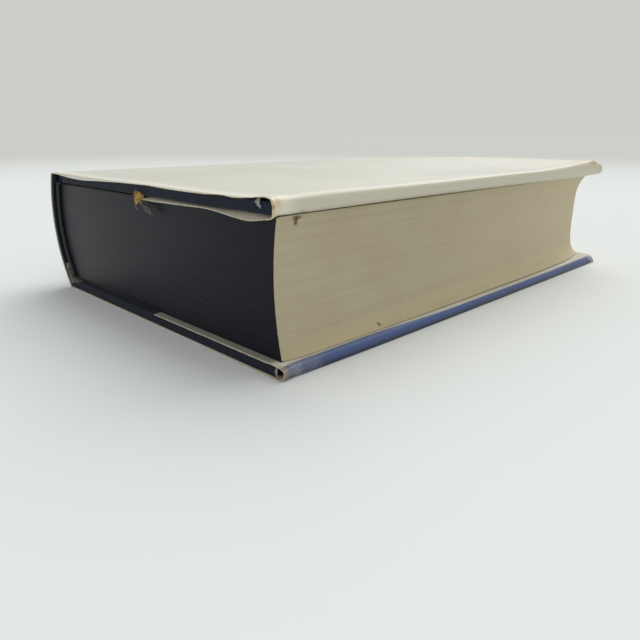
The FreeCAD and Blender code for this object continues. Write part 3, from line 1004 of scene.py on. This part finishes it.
def back_flap(x, y):
    """The flap lies under the board. Beyond the pages its margin sags past them, and its end curls up."""
    out = smooth_step(-y, 0.1172, 0.1206)
    sag = through(x, [0.006, 0.014, 0.024, 0.031, 0.040, 0.048, 0.056, 0.064, 0.070, 0.075, 0.080],
                  [0.0010, 0.0012, 0.0010, 0.0009, 0.0007, 0.0006, 0.0011, 0.0019, 0.0022, 0.0016, 0.0007])
    lifted = 0.0003 * bell(y, -0.045, 0.06) * smooth_step(x, 0.060, 0.078)
    crushed = 0.0003 * smooth_step(y, 0.104, 0.1205) * smooth_step(x, 0.070, 0.079)
    return flap_level + lifted + crushed - sag * out


def back_fold(share, y):
    """The fold stands off the board's edge. At the head it is pulled in and crumpled."""
    pulled = 0.0012 * bell(y, -0.1205, 0.005) + 0.0009 * smooth_step(-y, 0.1201, 0.1207)
    crumple = 0.00018 * np.sin(y * 2600) * bell(y, -0.1195, 0.004)
    start = back_panel_end - 0.8 * pulled
    tip = fold_tip - pulled + crumple
    crest = back_panel(start, y)[1]
    foot = back_flap(start, y)
    x = start + (tip - start) * through(share, fold_shares, [0, 0.50, 0.84, 0.98, 1.0, 0.93, 0.58, 0])
    z = foot + (crest - foot) * through(share, fold_shares, [1, 0.97, 0.86, 0.67, 0.43, 0.19, 0.04, 0])
    return x, z


sheet, column, row, x, y, z = jacket_half_sheet(
    "jacket_back", 1, spine_columns, back_panel_end, back_flap_end, back_panel, back_fold, back_flap)
at_fold = column == spine_columns + panel_columns
x = np.where(at_fold, back_fold(np.zeros(len(y)), y)[0], x)
finish_jacket(sheet, 1, column, x, y, z, smooth_step(spine_columns + 0.5 - column, 0, 1))
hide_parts("jacket_back_panel", "jacket_spine_panel")


def front_panel(x, y):
    """The front panel lies flat, pressed between the book and the table."""
    out = 0.0008 * smooth_step(x, 0.03, 0.08) * smooth_step(y, 0.117, 0.1205)
    return y + out, np.full(len(y), book_thickness)


def front_flap(x, y):
    """The front flap lies on the board, under the pages. Beyond them its margin settles on the cloth."""
    settling = smooth_step(y, 0.1176, 0.1206) * smooth_step(-x, -0.0800, -0.0740)
    return front_flap_level + 0.00018 * settling


def front_fold(share, y):
    """The front fold is creased hard along the table. At the head its corner sticks out as a nose."""
    nose = bell(y, 0.1212, 0.0036)
    plain_x = through(share, fold_shares, [0.0834, 0.0839, 0.0842, 0.0842, 0.0837, 0.0826, 0.0811, 0.0794])
    plain_z = through(share, fold_shares, [0.0, 0.0002, 0.0010, 0.0021, 0.0032, 0.0040, 0.0043, 0.0044])
    outward = through(-y, [-0.1205, -0.105, -0.090, -0.063, -0.030, 0.012, 0.064, 0.1205],
                      [0.0, 0.0005, 0.0009, 0.0013, 0.0015, 0.0017, 0.0019, 0.0019])
    plain_x = plain_x + outward * (1 - smooth_step(share, 0.05, 0.75))
    nose_x = through(share, fold_shares, [0.0830, 0.0838, 0.0846, 0.0852, 0.0848, 0.0833, 0.0814, 0.0794])
    nose_z = through(share, fold_shares, [0.0, 0.0002, 0.0012, 0.0024, 0.0034, 0.0041, 0.0043, 0.0044])
    x = plain_x + (nose_x - plain_x) * nose
    return x, book_thickness - (plain_z + (nose_z - plain_z) * nose)


sheet, column, row, x, y, z = jacket_half_sheet(
    "jacket_front", -1, 0, front_panel_end, front_flap_end, front_panel, front_fold, front_flap)
blue_line = 0.0041 - 0.0007 * smooth_step(-y, -0.085, -0.02) + 0.0003 * smooth_step(-y, 0.06, 0.11)
soft_border = 0.0006
blue = np.where(column <= panel_columns + fold_columns, 0.5 + (blue_line - turned(z, -1)) / soft_border, 0)
finish_jacket(sheet, -1, column, x, y, z, np.clip(blue, 0, 1))
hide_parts("jacket_front_panel")


# The jacket's torn bits: the back flap's end has come apart at the head in yellowed shreds, a flake of the
# panel's edge hangs beside the fold, and another stands in the front fold's open end. They are the jacket's
# own paper.
scrap_columns, scrap_rows = 24, 8
scrap_paper = 0.00012


def torn_paper(name, pale, dark):
    """Bared paper fibre, tinted by age."""
    made, tree, shader = plain_material(name)
    place = rest_place(tree)
    paper = use(tree, fibre, {"Place": place, "Tooth": 2600.0, "Cloud": 500.0})
    bared = toned(tree, paper.outputs["Shade"], 0.40, 0.60, dark, pale)
    dress(tree, shader, bared, 0.95, paper.outputs["Shade"], 0.5, 0.0003)
    return made


yellow_fibre = torn_paper("torn_paper_yellowed", srgb(196, 162, 100), srgb(132, 98, 54))
grey_fibre = torn_paper("torn_paper_grey", srgb(128, 118, 110), srgb(72, 66, 62))
pale_fibre = torn_paper("torn_paper_pale", srgb(172, 173, 166), srgb(122, 124, 120))


def torn_scrap(name, body, slot, material, route, widths, across, seed):
    """A small tongue of paper along a short route, ragged down both sides."""
    sheet, column, row = new_grid(name, scrap_columns, scrap_rows)
    on = column / scrap_columns
    middle = np.stack([through(on, even(len(route), 0, 1), values) for values in np.array(route).T], axis=1)
    rag = 1 + 0.35 * np.random.default_rng(seed).uniform(-1, 1, (2, scrap_columns + 1))
    off = 2 * row / scrap_rows - 1
    half = through(on, even(len(widths), 0, 1), widths) / 2 * rag[(off > 0).astype(int), column]
    lift = np.random.default_rng(seed + 1).normal(0, scrap_paper, (scrap_columns + 1, scrap_rows + 1))
    lift = lift[column, row]
    points = middle + (off * half)[:, None] * np.array(across)
    points[:, 1] += lift - 0.3 * half * (1 - off ** 2)
    place_points(sheet, points)
    thicken(sheet, scrap_paper)
    sheet.data.shade_smooth()
    keep_rest_place(sheet)
    sheet.data.materials.append(material)
    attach(sheet, body)


scraps = [
    ("flap_end_shred", "back_cover", "jacket_cream", yellow_fibre,
     [(0.0082, -0.1200, 0.0492), (0.0060, -0.1206, 0.0493),
      (0.0038, -0.1208, 0.0487), (0.0020, -0.1204, 0.0478)],
     [0.0014, 0.0034, 0.0040, 0.0016], (0.25, 0.0, 0.97), 3),
    ("flap_end_curl", "back_cover", "jacket_cream", yellow_fibre,
     [(0.0068, -0.1196, 0.0496), (0.0048, -0.1203, 0.0502),
      (0.0028, -0.1207, 0.0503), (0.0016, -0.1202, 0.0498)],
     [0.0012, 0.0020, 0.0022, 0.0006], (0.1, 0.3, 0.95), 5),
    ("flap_end_long_wisp", "back_cover", "jacket_cream", grey_fibre,
     [(0.0046, -0.1198, 0.0478), (0.0072, -0.1203, 0.0465),
      (0.0100, -0.1204, 0.0452), (0.0130, -0.1200, 0.0432)],
     [0.0026, 0.0018, 0.0024, 0.0004], (0.5, 0.0, 0.87), 7),
    ("flap_end_short_wisp", "back_cover", "jacket_cream", grey_fibre,
     [(0.0030, -0.1200, 0.0478), (0.0022, -0.1204, 0.0466),
      (0.0018, -0.1203, 0.0454), (0.0022, -0.1200, 0.0442)],
     [0.0022, 0.0018, 0.0014, 0.0004], (0.95, 0.0, 0.3), 9),
    ("panel_edge_flake", "back_cover", "jacket_cream", pale_fibre,
     [(0.0748, -0.1203, 0.0543), (0.0750, -0.1207, 0.0537),
      (0.0756, -0.1208, 0.0527), (0.0764, -0.1207, 0.0517)],
     [0.0024, 0.0024, 0.0014, 0.0003], (0.95, 0.0, 0.3), 11),
    ("front_fold_flake", "front_cover", "jacket_blue", pale_fibre,
     [(0.0816, -0.1203, 0.0040), (0.0813, -0.1206, 0.0028),
      (0.0816, -0.1206, 0.0016), (0.0819, -0.1205, 0.0004)],
     [0.0005, 0.0011, 0.0012, 0.0010], (1.0, 0.0, 0.1), 13),
]
for scrap in scraps:
    torn_scrap(*scrap)

low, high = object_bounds()
